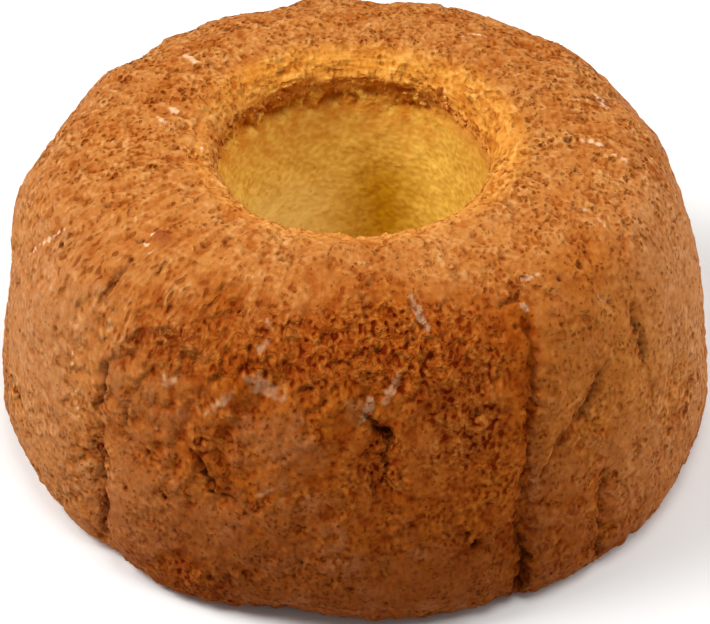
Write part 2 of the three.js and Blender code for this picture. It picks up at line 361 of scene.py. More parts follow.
cakeRelief = {
    "Smoothing": 3,  # subdivision steps of the ring
    "Skin step": 0.5,  # mm that whole skin stands above torn crumb
    "Crumb height": 2.6,  # mm of relief in torn crumb
    "Crumb size": 3.8,  # mm
    "Leather height": 1.1,  # mm of relief in whole skin
    "Leather size": 5.6,  # mm
    "Sponge height": 0.8,  # mm of relief in the hole's wall
    "Sponge size": 5.0,  # mm
    "Tear height": 5.0,  # mm of raggedness at the torn edge
    "Undercut": 2.6,  # mm that the sponge falls back under the torn edge
    "Ring height": 1.1,  # mm of the rings round the rim
    "Terrace depth": 0.5,  # mm that the rim steps down to the hole
    "Lip height": 2.4,  # mm of raggedness where the lip is whole
    "Chip height": 3.2,  # mm of raggedness at the base edge
    "Crack depth": 1.2,  # share of each crack's own depth
    "Crack edge": 0.16,  # the raised edge, as a share of the crack's depth
    "Fold depth": 1.35,  # share of each fold's own depth
    "Scuff highlight height": 0.2,  # mm
}
tornEdge = {  # mm, and degrees round the ring
    "height": 83.5,
    "radius": 44.0,
    "spread": 3.0,  # mm over which the hole gives way to the rim
    "middle": -155.0,
    "whole": 54.0,  # fully torn up to here on both sides of the middle
    "closed": 74.0,  # and not at all from here on
    "slack": 7.0,  # mm that the crust runs down into the hole where it isn't torn
}
crustZones = {  # where each zone of the crust fades in: heights and radii in mm, the rest in degrees
    "underHeight": (1.6, 0.2),
    "underFacing": (-0.3, -0.8),  # upward part of the normal
    "rimRadius": (54.0, 44.0),
    "rimHeight": (78.0, 85.0),
    "rimMiddle": 150.0,
    "rimSpread": (125.0, 60.0),
    "terrace": (48.2, 46.6),  # radius
    "lipHeight": (80.0, 86.0),
    "lipRadius": (45.0, 4.0),  # middle and half width
    "chips": (9.0, 2.0),  # height of the chipped base edge
    "wholeSkin": (0.42, 0.66),  # of the skin's bias
    "coarseCrumb": (0.20, -0.35),  # and of the coarsest crumb's
    "panelEdge": 28.5,  # the right-hand panel's left edge
    "panelBend": 36.0,  # tilt from which that edge leans
    "panelLean": 0.17,  # degrees round the ring for each degree of tilt
    "panelEnd": (70.0, 48.0),
    "panelFoot": (-8.0, 34.0),
    "panelHead": (84.0, 66.0),
    "frontMiddle": 6.0,  # the darker front
    "frontSpread": (72.0, 24.0),
    "frontHead": (105.0, 73.0),
    "footTilt": (14.0, -24.0),  # the darker foot
    "backMiddle": 165.0,  # a darker part at the back
    "backSpread": (60.0, 15.0),
    "backHead": (60.0, 30.0),
    "pittedSpread": (22.0, 58.0),  # degrees from the front's middle
    "pittedTilt": (46.0, 66.0),
    "streakAngle": (-42.0, 32.0),  # middle and half width
    "streakTilt": (60.0, 30.0),
    "sideTilt": (88.0, 56.0),
    "topTilt": (46.0, 70.0),
    "lowTilt": (34.0, -24.0),  # the darkest foot, at the front alone
    "lowFront": (-76.0, -104.0),  # y, mm
}
crustNoise = {  # size in mm, and reach in the unit of what it moves
    "ragged": (6.0, 8.0),
    "drift": (20.0, 44.0),
    "skinEdge": (6.0, 1.8),
    "wobble": (2.6, 1.2),
}
grainReach = {"around": 80.0, "up": 0.28}  # mm of pattern for a radius round the ring, and for a degree of tilt
triangleLimit = 195000


def startTree(name, sizes, clouds):  # its inputs: the mesh, the clouds of marks, a material and the sizes
    tree = bpy.data.node_groups.new(name, "GeometryNodeTree")
    kinds = {"Geometry": "Geometry", **{label: "Object" for label in clouds}, "Material": "Material"}
    kinds.update({label: "Int" if isinstance(value, int) else "Float" for label, value in sizes.items()})
    for label, kind in kinds.items():
        tree.interface.new_socket(name=label, in_out="INPUT", socket_type="NodeSocket" + kind)
    tree.interface.new_socket(name="Geometry", in_out="OUTPUT", socket_type="NodeSocketGeometry")
    return tree, tree.nodes.new("NodeGroupInput"), tree.nodes.new("NodeGroupOutput")


def endTree(tree, given, result, geometry):
    joined = addNode(tree, "GeometryNodeRealizeInstances", {"Geometry": geometry})
    rounded = addNode(tree, "GeometryNodeSetShadeSmooth", {"Geometry": joined.outputs["Geometry"]})
    painted = addNode(tree, "GeometryNodeSetMaterial",
                      {"Geometry": rounded.outputs["Geometry"], "Material": given.outputs["Material"]})
    plug(tree, result.inputs["Geometry"], painted.outputs["Geometry"])
    return tree


def setInputs(modifier, values):  # a modifier's inputs go by the socket's identifier
    for item in modifier.node_group.interface.items_tree:
        if item.in_out == "INPUT" and item.name in values:
            modifier[item.identifier] = values[item.name]


def namedValue(tree, label):  # a number that the mesh or the points carry
    made = addNode(tree, "GeometryNodeInputNamedAttribute", {"Name": label}, data_type="FLOAT")
    return shownSocket(made.outputs, "Attribute")


def nearestMark(tree, cloud, position):  # distance in mm to the nearest mark, with its reach and depth
    marks = addNode(tree, "GeometryNodeObjectInfo", {"Object": cloud}).outputs["Geometry"]
    nearest = addNode(tree, "GeometryNodeSampleNearest", {"Geometry": marks, "Sample Position": position})

    def sampled(kind, value):
        found = addNode(tree, "GeometryNodeSampleIndex",
                        {"Geometry": marks, "Value": value, "Index": nearest.outputs["Index"]}, data_type=kind)
        return shownSocket(found.outputs, "Value")

    def named(label):
        return Wire(tree, sampled("FLOAT", namedValue(tree, label)))

    place = sampled("FLOAT_VECTOR", tree.nodes.new("GeometryNodeInputPosition").outputs[0])
    apart = Wire(tree, vectorMaths(tree, "DISTANCE", position, place))
    return apart / mm, named("reach"), named("depth")


def turnFrom(angle, middle):  # degrees from the middle, the short way round
    return (angle - (middle - 180.0)).maths("FLOORED_MODULO", 360.0) - 180.0


def cakeTree():
    tree, given, result = startTree("cakeRelief", cakeRelief, markClouds)
    zone = crustZones

    def size(label):
        return Wire(tree, given.outputs[label])

    def near(label):
        return nearestMark(tree, given.outputs[label], position)

    def patches(noiseSize, detail=2.0, roughness=0.5, shift=0.0):
        return noiseAt(tree, place, noiseSize, detail, roughness, shift)

    def swing(label, detail=2.0, roughness=0.5, shift=0.0):  # a noise about zero
        noiseSize, reach = crustNoise[label]
        return (patches(noiseSize, detail, roughness, shift) - 0.5) * reach

    smooth = addNode(tree, "GeometryNodeSubdivisionSurface",
                     {"Mesh": given.outputs["Geometry"], "Level": given.outputs["Smoothing"]})
    position = tree.nodes.new("GeometryNodeInputPosition").outputs[0]
    normal = tree.nodes.new("GeometryNodeInputNormal").outputs[0]
    place = scaled(tree, position, 1.0 / mm)
    x, y, z = parts(tree, place)
    facingUp = parts(tree, normal)[2]
    radius = (x * x + y * y).maths("SQRT")
    angle = x.maths("ARCTAN2", -y).maths("DEGREES")
    tilt = (z - ringCore["height"]).maths("ARCTAN2", radius - ringCore["radius"]).maths("DEGREES")

    # grain: the crust's own coordinates, longer up the section than round it
    outward = vectorMaths(tree, "MULTIPLY", place, (1.0, 1.0, 0.0))
    outward = scaled(tree, vectorMaths(tree, "NORMALIZE", outward), grainReach["around"])
    along = joinedUp(tree, 0.0, 0.0, tilt * grainReach["up"])
    grain = vectorMaths(tree, "ADD", outward, along)

    # regions of the ring
    ragged = swing("ragged", 4.0, 0.6)
    inHole = radius.fade(tornEdge["radius"] + tornEdge["spread"], tornEdge["radius"])
    torn = turnFrom(angle, tornEdge["middle"]).maths("ABSOLUTE").fade(tornEdge["closed"], tornEdge["whole"])
    slack = torn.flipped() * tornEdge["slack"]
    edgeHeight = z + ragged * (torn * 1.3 + 0.2) - tornEdge["height"]
    sponge = edgeHeight.fade(slack * 0.3 + 1.0, slack * -1.0 - 1.5) * inHole
    under = z.fade(*zone["underHeight"]) * facingUp.fade(*zone["underFacing"])
    crust = sponge.flipped() * under.flipped()
    rightBack = turnFrom(angle, zone["rimMiddle"]).maths("ABSOLUTE").fade(*zone["rimSpread"])
    rim = (radius + ragged).fade(*zone["rimRadius"]) * z.fade(*zone["rimHeight"]) * (rightBack * 0.85 + 0.15)

    # whole skin and torn crumb
    bias = patches(24.0, 2.0, shift=31.0) * 0.6 + 0.26
    for patchAngle, patchTilt, halfAngle, halfTilt, amount in skinPatches:
        bias += turnFrom(angle, patchAngle).bell(halfAngle) * (tilt - patchTilt).bell(halfTilt) * amount
    panelEdge = (tilt - zone["panelBend"]).maths("MAXIMUM", 0.0) * zone["panelLean"] + zone["panelEdge"]
    drift = swing("drift", 4.0, 0.6, shift=51.0)
    panel = (angle - panelEdge + ragged * 0.8 + drift * 0.08).fade(-0.3, 0.7) * angle.fade(*zone["panelEnd"])
    panel = panel * (tilt + drift * 1.2).fade(*zone["panelFoot"]) * (tilt + drift * 0.5).fade(*zone["panelHead"])
    bias += panel * 0.5
    edges = swing("skinEdge", 4.0, 0.65)
    skin = (bias + edges).fade(*zone["wholeSkin"]) * crust * rim.flipped()
    coarse = (bias + edges * 0.6).fade(*zone["coarseCrumb"]) * crust

    # relief of the crumb, the skin and the sponge
    crumbPlace = vectorMaths(tree, "MULTIPLY", grain, (1.0, 1.0, 2.2))
    crumb = noiseAt(tree, stirred(tree, crumbPlace, 6.0, 1.0, 2.0), size("Crumb size"), 1.0, 0.4)
    leather = patches(size("Leather size"), 1.0, 0.4, shift=11.0)
    spongeNoise = patches(size("Sponge size"), 1.0, 0.4, shift=5.0)
    tornCrumb = skin.flipped() * crust * rim.flipped()
    crumbLift = (crumb - 0.62) * 1.4
    lift = (skin - 1.0) * crust * rim.flipped() * size("Skin step")
    lift += tornCrumb * (coarse * 0.4 + 0.6) * crumbLift * size("Crumb height")
    lift += skin * (leather - 0.6) * size("Leather height") * 1.6
    lift += sponge * (spongeNoise - 0.6) * size("Sponge height") * 1.6

    # rings and a low terrace on the rim, then the torn edge over the sponge
    ringPlace = joinedUp(tree, x * 0.25, y * 0.25, radius * 1.2 + z)
    rings = noiseAt(tree, ringPlace, 2.2, 2.0, 0.55, shift=23.0) - 0.5
    lipTop = z.fade(*zone["lipHeight"])
    terrace = (radius + ragged * 0.4).fade(*zone["terrace"]) * lipTop * torn
    lift = lift + rim * rings * size("Ring height") - terrace * size("Terrace depth")
    nearTear = (z - tornEdge["height"] - 0.5).bell(2.4) * inHole
    underTear = (z + ragged * 0.7 - tornEdge["height"] + 4.0).bell(2.6) * inHole * torn
    tearNoise = patches(3.6, 3.0, 0.6, shift=17.0)
    lift += nearTear * (tearNoise - 0.46) * size("Tear height") * (torn * 0.5 + 0.5)
    lipMiddle, lipHalf = zone["lipRadius"]
    lipBand = (radius - lipMiddle).bell(lipHalf) * lipTop * torn.flipped()
    lift += lipBand * (tearNoise - 0.56) * size("Lip height")
    pockets = underTear * patches(7.0, 3.0, 0.6, shift=41.0).fade(0.44, 0.64)
    lift -= pockets * size("Undercut")

    # chipped base edge
    chips = patches(5.5, 3.0, 0.6, shift=29.0)
    lift += z.fade(*zone["chips"]) * (chips - 0.62) * size("Chip height") * crust

    # marks: how far away the nearest one is, with a little wobble, against its own reach
    wobble = swing("wobble", shift=3.0)
    away, reach, depth = near("Cracks")
    crack = (away + wobble * 0.8).maths("MAXIMUM", 0.0).bell(reach)
    crackEdge = (away - reach * 2.4).bell(reach)
    lift = lift - crack * depth * size("Crack depth") + crackEdge * depth * size("Crack edge")
    # deeper cracks get darker painted shadow
    crack *= depth.fade(0.3, 2.2)
    away, reach, depth = near("Folds")
    fold = (away + wobble + ragged * 0.2).maths("MAXIMUM", 0.0).bell(reach)
    lift -= fold * depth * size("Fold depth")
    # deeper folds get more painted shade
    fold *= depth.fade(0.2, 1.6)
    away, reach, depth = near("Pits")
    pit = (away + wobble * 0.8).maths("MAXIMUM", 0.0).bell(reach) * crust
    lift -= pit * depth
    knob = pit * depth.fade(-0.9, -1.6)
    # deeper pits get darker painted shadow
    pit *= depth.fade(0.0, 1.2)
    away, reach, depth = near("ScuffHighlights")
    # pale scuffs, raised a little, which the material paints with highlights on their crests
    scuff = (away / reach + wobble * 1.6 + ragged * 0.2).fade(1.5, 0.2) * depth * crust
    lift += scuff * size("Scuff highlight height")

    # colour follows these: where the crust is browner, and how deep the crumb lies, for painted shade in its hollows
    # and in the pockets under the torn edge
    aside = (angle - zone["frontMiddle"]).maths("ABSOLUTE")
    front = (aside + drift * 0.6).fade(*zone["frontSpread"]) * (panel * -0.35 + 1.0)
    front *= (tilt + aside * 0.35 + drift * 0.9).fade(*zone["frontHead"])
    pitted = aside.fade(*zone["pittedSpread"]) * tilt.fade(*zone["pittedTilt"])
    streakAngle, streakHalf = zone["streakAngle"]
    streakTilt, streakHalfTilt = zone["streakTilt"]
    streaked = turnFrom(angle, streakAngle).bell(streakHalf) * (tilt - streakTilt).bell(streakHalfTilt)
    back = turnFrom(angle, zone["backMiddle"]).maths("ABSOLUTE").fade(*zone["backSpread"])
    back *= tilt.fade(*zone["backHead"])
    brown = (front + back * 0.5 + tilt.fade(*zone["footTilt"]) * 0.2).capped()
    # painted shade: darker in the crumb's hollows and in the pockets under the torn edge
    hollow = (crumb.fade(0.48, 0.34) * tornCrumb).maths("MAXIMUM", pockets)

    # broad noises and bent coordinates, kept on the mesh so that the material has less to work out
    bentRings = joinedUp(tree, x * 0.3, y * 0.3, radius + z)
    coordinates = {"flow": stirred(tree, grain, 9.0, 1.5, 2.0),
                   "bentRings": stirred(tree, bentRings, 6.0, 1.5, 2.0)}
    broadNoises = {"middle": patches(5.0, 2.0, 0.6, shift=9.0),
                   "broad": patches(26.0, 2.0, 0.5, shift=4.0),
                   "patchy": patches(7.0, 1.0, 0.5, shift=43.0),
                   "blotch": patches(11.0, 1.0, 0.5, shift=71.0).fade(0.34, 0.64),
                   "rusty": patches(15.0, 3.0, 0.6, shift=61.0).fade(0.42, 0.66),
                   "bloom": patches(13.0, 2.0, 0.6, shift=91.0).fade(0.50, 0.68),
                   "toasted": patches(4.0, 1.0, 0.5, shift=83.0).fade(0.30, 0.62)}

    # how strong the fine relief is, and where its small pits lie
    blotch, patchy, rough = broadNoises["blotch"], broadNoises["patchy"], skin.flipped()
    heft = coarse * 0.6 + tilt.fade(*zone["sideTilt"]) * rough * 0.3 + rough * 0.15 + rim * 0.2 + 0.8
    heft = (heft * (blotch * 0.75 + 0.55)).maths("MAXIMUM", coarse * 1.4)
    pitBias = (patchy - 0.5) * 0.4 + pitted * 0.05
    pitShare = patchy.fade(0.32, 0.54) * crust * (rim * -0.6 + 1.0)

    geometry = smooth.outputs["Mesh"]
    masks = dict(broadNoises, heft=heft, pitBias=pitBias, pitShare=pitShare, skin=skin, coarse=coarse, hollow=hollow,
                 brown=brown, sponge=sponge, rim=rim, crack=crack, fold=fold, pit=pit, scuff=scuff, pitted=pitted,
                 streaked=streaked, under=under, torn=torn, tear=nearTear.maths("MAXIMUM", lipBand * 0.6), tilt=tilt,
                 panel=panel, knob=knob)
    for kind, kept in (("FLOAT", masks), ("FLOAT_VECTOR", coordinates)):
        for label, value in kept.items():
            geometry = addNode(tree, "GeometryNodeStoreNamedAttribute",
                               {"Geometry": geometry, "Name": label, "Value": value},
                               data_type=kind, domain="POINT").outputs["Geometry"]
    lift = lift * under.flipped() * mm
    moved = addNode(tree, "GeometryNodeSetPosition",
                    {"Geometry": geometry, "Offset": scaled(tree, normal, lift)})
    return endTree(tree, given, result, moved.outputs["Geometry"])


def ringOfQuads():  # the ring's triangles paired into quads, which smooth better
    shape = mergedCopy()
    bmesh.ops.join_triangles(shape, faces=shape.faces, angle_face_threshold=math.pi,
                             angle_shape_threshold=math.pi)
    mesh = bpy.data.meshes.new("cakeBody")
    shape.to_mesh(mesh)
    shape.free()
    mesh.materials.clear()
    return mesh


def plainMesh(piece):  # the evaluated result as an ordinary mesh, with the modifiers gone
    mesh = bpy.data.meshes.new_from_object(piece.evaluated_get(bpy.context.evaluated_depsgraph_get()))
    piece.modifiers.clear()
    piece.data = mesh
    return piece


def triangleCount(mesh):
    mesh.calc_loop_triangles()
    return len(mesh.loop_triangles)


def makeCake(material):
    cake = addObject("cakeBody", ringOfQuads())
    relief = cake.modifiers.new("relief", "NODES")
    relief.node_group = cakeTree()
    setInputs(relief, {**cakeRelief, **markClouds, "Material": material})
    plainMesh(cake)
    print("cake relief made:", triangleCount(cake.data), "triangles")
    thin = cake.modifiers.new("thin", "DECIMATE")
    thin.ratio = min(1.0, triangleLimit / triangleCount(cake.data))
    plainMesh(cake)
    print("cake thinned to:", triangleCount(cake.data), "triangles")
    return cake


# Materials

def linear(red, green, blue):  # a colour as seen on screen, 0 to 255, as the shader wants it
    def part(value):
        share = value / 255.0
        return share / 12.92 if share <= 0.04045 else ((share + 0.055) / 1.055) ** 2.4
    return part(red), part(green), part(blue), 1.0


def newMaterial(name):
    material = bpy.data.materials.new(name)
    material.use_nodes = True
    return material, material.node_tree, material.node_tree.nodes["Principled BSDF"]


def setLook(tree, shader, colour, roughness, specular, relief=None):  # relief is in mm
    for name, value in (("Base Color", colour), ("Roughness", roughness), ("Specular IOR Level", specular)):
        plug(tree, shader.inputs[name], value)
    if relief:
        bump = addNode(tree, "ShaderNodeBump", {"Height": relief, "Distance": mm, "Strength": 1.0})
        plug(tree, shader.inputs["Normal"], bump.outputs["Normal"])


def mixColour(tree, share, first, second, blend="MIX"):
    made = addNode(tree, "ShaderNodeMix", {"Factor": share, "A": first, "B": second}, data_type="RGBA",
                   blend_type=blend, clamp_factor=True)
    return shownSocket(made.outputs, "Result")


crustLook = {
    # colours
    "topGold": linear(187, 119, 56),
    "topRust": linear(173, 95, 34),
    "sideTan": linear(180, 116, 63),
    "frontBrown": linear(153, 74, 12),
    "frontSkin": linear(144, 74, 24),
    "skinBloom": linear(164, 106, 66),
    "lowBrown": linear(117, 55, 12),
    "coarseBrown": linear(153, 76, 20),
    "rimGold": linear(211, 137, 46),
    "rimBright": linear(244, 178, 74),
    "scuffHighlightPale": linear(238, 198, 160),
    "scuffHighlightDull": linear(178, 136, 100),
    "lipPale": linear(228, 152, 66),
    # painted shadow deep in pits and cracks
    "pitCrackShadow": linear(70, 26, 4),
    "spongeLight": linear(248, 208, 99),
    # painted light: paler on the lower left of the hole's back wall
    "spongePaintedLight": linear(255, 230, 146),
    # painted shade in the sponge's pores
    "spongePoreShade": linear(206, 154, 42),
    "spongeToast": linear(202, 122, 31),
    "underBrown": linear(160, 84, 30),
    "knobBrown": linear(150, 74, 36),
    # tints, which multiply the colour below them
    "panelTint": (1.0, 0.89, 0.48, 1.0),  # the right-hand panel is more golden
    # painted shade in the small pits
    "pitShadeTint": (0.50, 0.30, 0.05, 1.0),
    # painted shade in the larger wells, which have no relief of their own
    "wellShadeTint": (0.42, 0.24, 0.05, 1.0),
    # painted shade: darker and redder in dents, creases, folds, hollows and pores, and in broad patches
    "dentShadeTint": (0.64, 0.34, 0.06, 1.0),
    # painted highlight: paler on crests, granules and ring tops, and in broad patches
    "crestHighlightTint": (1.24, 1.54, 2.25, 1.0),
    "shadeTint": (0.56, 0.42, 0.06, 1.0),  # painted shade in the deep middle of the hole's back and on its right wall
    # sizes of the patterns, mm
    "wrinkleSize": 1.9,
    "lumpSize": 4.5,
    "grainSize": 2.5,
    "gritSize": 1.3,
    "fineSize": 0.75,
    "crumbSize": 1.9,
    "ringSize": 2.4,
    "pitSpacing": 1.7,
    "wellSpacing": 4.4,
    "poreSize": 1.9,
    "poreSpacing": 2.3,
    "drawn": (1.0, 0.74, 0.88),  # below one, the pattern is longer that way
    "pitStretch": 1.8,  # the larger, the rounder the long pits and grit
    "poreFlat": (1.0, 1.0, 1.25),  # above one, the pores are flatter that way
    # heights of the relief, mm
    "lumpHeight": 2.0,
    "grainHeight": 1.6,
    "dentDepth": 0.3,
    "crumbHeight": 1.5,
    "wrinkleHeight": 1.0,
    "pitDepth": 0.45,
    "ringHeight": 1.1,
    "spongeHeight": 1.0,
    "poreHeight": 0.3,
    # gloss
    "roughness": 0.72,
    "skinSmoother": -0.12,
    "pitRougher": 0.1,
    "specular": 0.02,
}
spongeZones = {  # where the sponge's colours fade in, mm
    "paintedLightHeight": (64.0, 40.0),
    "paintedLightSide": (8.0, -24.0),
    "toastHeight": (55.0, 82.0),
    "toastRagged": 26.0,
    "toastSide": (18.0, 40.0),
    "toastSideHeight": (36.0, 76.0),
    "brightHeight": (74.0, 84.0),
    "shadeMiddle": 9.0,
    "shadeHalf": 14.0,
    "shadeBack": (0.0, 20.0),
    "shadeHeight": (74.0, 48.0),
    "shadeSide": (14.0, 36.0),
    "shadeSideHeight": (88.0, 76.0),
    "tornHeight": (70.0, 84.0),
}


def crustMaterial():
    look = crustLook
    zone = {**crustZones, **spongeZones}
    material, tree, shader = newMaterial("bakedCrust")

    def mask(label):
        return Wire(tree, addNode(tree, "ShaderNodeAttribute", {}, attribute_name=label).outputs["Fac"])

    def speck(vector, name, detail=0.0, roughness=0.5, shift=0.0):
        return noiseAt(tree, vector, look[name], detail, roughness, shift)

    def layered(colour, rows):  # each row: where, how much, and which colour or tint
        for where, share, name in rows:
            blend = "MULTIPLY" if name.endswith("Tint") else "MIX"
            colour = mixColour(tree, where * share, colour, look[name], blend)
        return colour

    place = scaled(tree, tree.nodes.new("ShaderNodeTexCoord").outputs["Object"], 1.0 / mm)
    flow, bentRings = (addNode(tree, "ShaderNodeAttribute", {}, attribute_name=label).outputs["Vector"]
                       for label in ("flow", "bentRings"))
    skin, coarse, hollow, brown, sponge, rim = map(mask, ("skin", "coarse", "hollow", "brown", "sponge", "rim"))
    crack, pit, scuff, fold, knob, panel = map(mask, ("crack", "pit", "scuff", "fold", "knob", "panel"))
    under, torn, tilt, tear, pitted, streaked = map(mask, ("under", "torn", "tilt", "tear", "pitted", "streaked"))
    middle, broad, patchy, blotch, rusty = map(mask, ("middle", "broad", "patchy", "blotch", "rusty"))
    bloom, toasted, heft, pitBias, pitShare = map(mask, ("bloom", "toasted", "heft", "pitBias", "pitShare"))
    x, y, z = parts(tree, place)
    crust = sponge.flipped() * under.flipped()
    top = tilt.fade(*zone["topTilt"])
    side = tilt.fade(*zone["sideTilt"])

    # patterns of the crust: lumps, grain and grit, wrinkles, rings, coarse crumb, small pits and larger wells
    drawn = vectorMaths(tree, "MULTIPLY", place, look["drawn"])
    wrinkle = speck(flow, "wrinkleSize", 1.0, shift=13.0)
    lumps = speck(drawn, "lumpSize", shift=7.0)
    grainNoise = speck(drawn, "grainSize")
    fine = speck(place, "fineSize", 1.0, 0.6)
    pitPlace = vectorMaths(tree, "MULTIPLY", flow, (1.0, 1.0, look["pitStretch"]))
    longGrit = speck(pitPlace, "gritSize", shift=19.0)
    grit = speck(drawn, "gritSize", shift=19.0)
    grit += (longGrit - grit) * streaked * 0.6
    rings = speck(bentRings, "ringSize", shift=23.0)
    pocks = grit * 0.75 + grainNoise * 0.25 - (middle - 0.5) * 0.2 - pitted * 0.02
    dents = pocks.fade(0.46, 0.28)
    crests = pocks.fade(0.51, 0.68)
    crumb = speck(stirred(tree, place, 1.6, 0.35), "crumbSize", 1.0, 0.4, shift=37.0) - 0.5
    creases = crumb.bell(0.05) * coarse
    granules = crumb.maths("ABSOLUTE")
    roundCells = cellsAt(tree, stirred(tree, drawn, 1.3, 0.55), look["pitSpacing"])
    longCells = (speck(pitPlace, "pitSpacing", shift=27.0) - 0.2) * 1.9
    cells = roundCells + (longCells - roundCells) * streaked
    pits = (cells - pitBias).fade(0.34, 0.07) * pitShare
    wells = cellsAt(tree, stirred(tree, drawn, 1.8, 0.8), look["wellSpacing"], shift=3.0)
    wells = wells.fade(0.22, 0.06) * middle.fade(0.48, 0.62) * (pitted * 0.8 + 0.2) * crust

    # sponge: soft pores, a little flattened
    flat = vectorMaths(tree, "MULTIPLY", place, look["poreFlat"])
    poreNoise = speck(flat, "poreSize", shift=21.0)
    pores = cellsAt(tree, stirred(tree, flat, 1.6, 0.6), look["poreSpacing"], shift=21.0)
    pores = (pores - (patchy - 0.5) * 0.6).fade(0.44, 0.02) * patchy.fade(0.34, 0.60)

    # colour of the crust, from the broadest areas to the finest marks
    lowFront = tilt.fade(*zone["lowTilt"]) * brown * y.fade(*zone["lowFront"])
    # how strong the painted shade in dents and the painted highlights on crests are
    tone = heft * (rim * -0.2 + 0.6) * crust
    speckle = (top * -0.05 + 0.2) * crust
    colour = layered(look["topGold"], (
        (side, skin * 0.6 + 0.4, "sideTan"),
        (rusty * top, 0.7, "topRust")))
    frontColour = mixColour(tree, skin, look["frontBrown"], look["frontSkin"])
    colour = mixColour(tree, brown * (broad * 0.6 + 0.65), colour, frontColour)
    colour = layered(colour, (
        (panel, 0.9, "panelTint"),
        (lowFront, 0.85, "lowBrown"),
        (coarse * brown, 0.6, "coarseBrown"),
        (rim, 0.8, "rimGold"),
        (tear * torn.flipped(), 0.7, "lipPale"),
        (bloom * skin * brown, 0.24, "skinBloom"),
        # painted shade in the lows of the relief and painted highlights on its highs; broad patches and the fine
        # speckle use the same tints
        (middle.fade(0.52, 0.78), 0.5, "dentShadeTint"),
        (middle.fade(0.46, 0.26), 0.4, "crestHighlightTint"),
        (dents, tone, "dentShadeTint"),
        (crests * tone, 1.25, "crestHighlightTint"),
        (dents * coarse, 0.85, "dentShadeTint"),
        (creases, 0.6, "dentShadeTint"),
        (granules.fade(0.13, 0.27) * coarse, 0.9, "crestHighlightTint"),
        (rings.fade(0.48, 0.30) * rim, 0.4, "dentShadeTint"),
        (rings.fade(0.53, 0.70) * rim, 0.4, "crestHighlightTint"),
        (fine.fade(0.48, 0.26), speckle, "dentShadeTint"),
        (fine.fade(0.52, 0.74), speckle, "crestHighlightTint"),
        (wrinkle.fade(0.47, 0.33) * streaked, 0.4, "dentShadeTint"),
        (wrinkle.fade(0.53, 0.67) * streaked, 0.3, "crestHighlightTint"),
        (fold, dents * 0.5 + 0.35, "dentShadeTint"),
        # painted shade in the crumb's hollows
        (hollow, 0.6, "dentShadeTint"),
        # painted shade in pits and wells, and painted shadow in deep pits and cracks
        (pits, pitted * 0.3 + blotch * 0.2 + 0.45, "pitShadeTint"),
        (wells, 0.7, "wellShadeTint"),
        (knob, 0.9, "knobBrown"),
        ((pit * 0.9 + crack).capped(), 0.9, "pitCrackShadow")))
    # pale scuffs, paler on the crests of the grit: painted highlights
    scuffHighlightColour = mixColour(tree, brown, look["scuffHighlightPale"], look["scuffHighlightDull"])
    colour = mixColour(tree, (scuff + (pocks - 0.5) * 1.2).fade(0.25, 0.95) * 0.8, colour, scuffHighlightColour)

    # colour of the sponge: paler to the lower left as painted light, painted shade in its pores, toasted under the
    # torn edge, painted shade in the deep middle, on the right wall and in the hollows under the torn edge
    toast = (z + (middle - 0.5) * zone["toastRagged"]).fade(*zone["toastHeight"]) * (torn * 0.8 + 0.2)
    toast *= (toasted * 0.6 + 0.4)
    toast = (toast + x.fade(*zone["toastSide"]) * z.fade(*zone["toastSideHeight"]) * 0.3).capped()
    # painted shade: darker in the deep middle of the hole's back and on its right wall
    paintedShade = (x - zone["shadeMiddle"] + (middle - 0.5) * zone["shadeHalf"]).bell(zone["shadeHalf"])
    paintedShade = paintedShade * y.fade(*zone["shadeBack"]) * z.fade(*zone["shadeHeight"])
    paintedShade = (paintedShade + x.fade(*zone["shadeSide"]) * z.fade(*zone["shadeSideHeight"]) * 0.35).capped()
    soft = layered(look["spongeLight"], (
        (poreNoise.fade(0.72, 0.30), 0.5, "spongePoreShade"),
        # painted light on the lower left of the back wall
        (z.fade(*zone["paintedLightHeight"]) * x.fade(*zone["paintedLightSide"]), 0.75, "spongePaintedLight"),
        (pores, 0.4, "dentShadeTint"),
        (toast, 0.9, "spongeToast"),
        (z.fade(*zone["brightHeight"]), torn.flipped(), "rimBright"),
        (paintedShade, 1.0, "shadeTint"),
        (hollow, 0.9, "dentShadeTint")))
    colour = mixColour(tree, sponge, colour, soft)
    colour = mixColour(tree, under, colour, look["underBrown"])

    # fine relief, in mm
    crustRelief = (lumps - 0.5) * look["lumpHeight"] + (grainNoise - 0.5) * look["grainHeight"]
    crustRelief = (crustRelief - dents * look["dentDepth"]) * heft - pits * look["pitDepth"]
    crustRelief += granules * coarse * look["crumbHeight"]
    crustRelief += (wrinkle - 0.5) * streaked * look["wrinkleHeight"]
    crustRelief += (rings - 0.5) * rim * look["ringHeight"]
    spongeRelief = (middle - 0.5) * look["spongeHeight"] + (poreNoise - 0.5) * look["poreHeight"]
    spongeRelief += granules * torn * z.fade(*zone["tornHeight"]) * look["crumbHeight"]
    relief = crustRelief * crust + spongeRelief * sponge
    roughness = skin * look["skinSmoother"] + look["roughness"] + pits * look["pitRougher"]
    setLook(tree, shader, colour, roughness, look["specular"], relief)
    return material


cakeBody = makeCake(crustMaterial())
for cloud in markClouds.values():
    bpy.data.objects.remove(cloud)
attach(cakeBody, "root")
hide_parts("cake")


# Loose crumbs caught along the torn lip of the hole

crumbScatter = {
    "Density": 80000.0,  # crumbs to a square metre of lip
    "Smallest": 0.35,  # mm
    "Largest": 1.3,  # mm
    "Segments": 8,  # faces round a crumb
    "Rings": 5,  # and from end to end
    "Seed": 5,
}
crumbShape = {"squeeze": (1.1, 0.8, 0.5), "lumpSize": 0.8, "lumpHeight": 2.4, "sunken": 0.25}  # for a radius of one
crumbSpots = [  # larger ones: angle, tilt, radius in mm
    (-137, 111, 1.9), (-134, 112, 1.3), (141, 110, 1.7), (137, 111, 1.2),
    (150, 112, 1.2), (-100, 112, 1.2), (60, 111, 1.1), (-20, 112, 1.0),
]


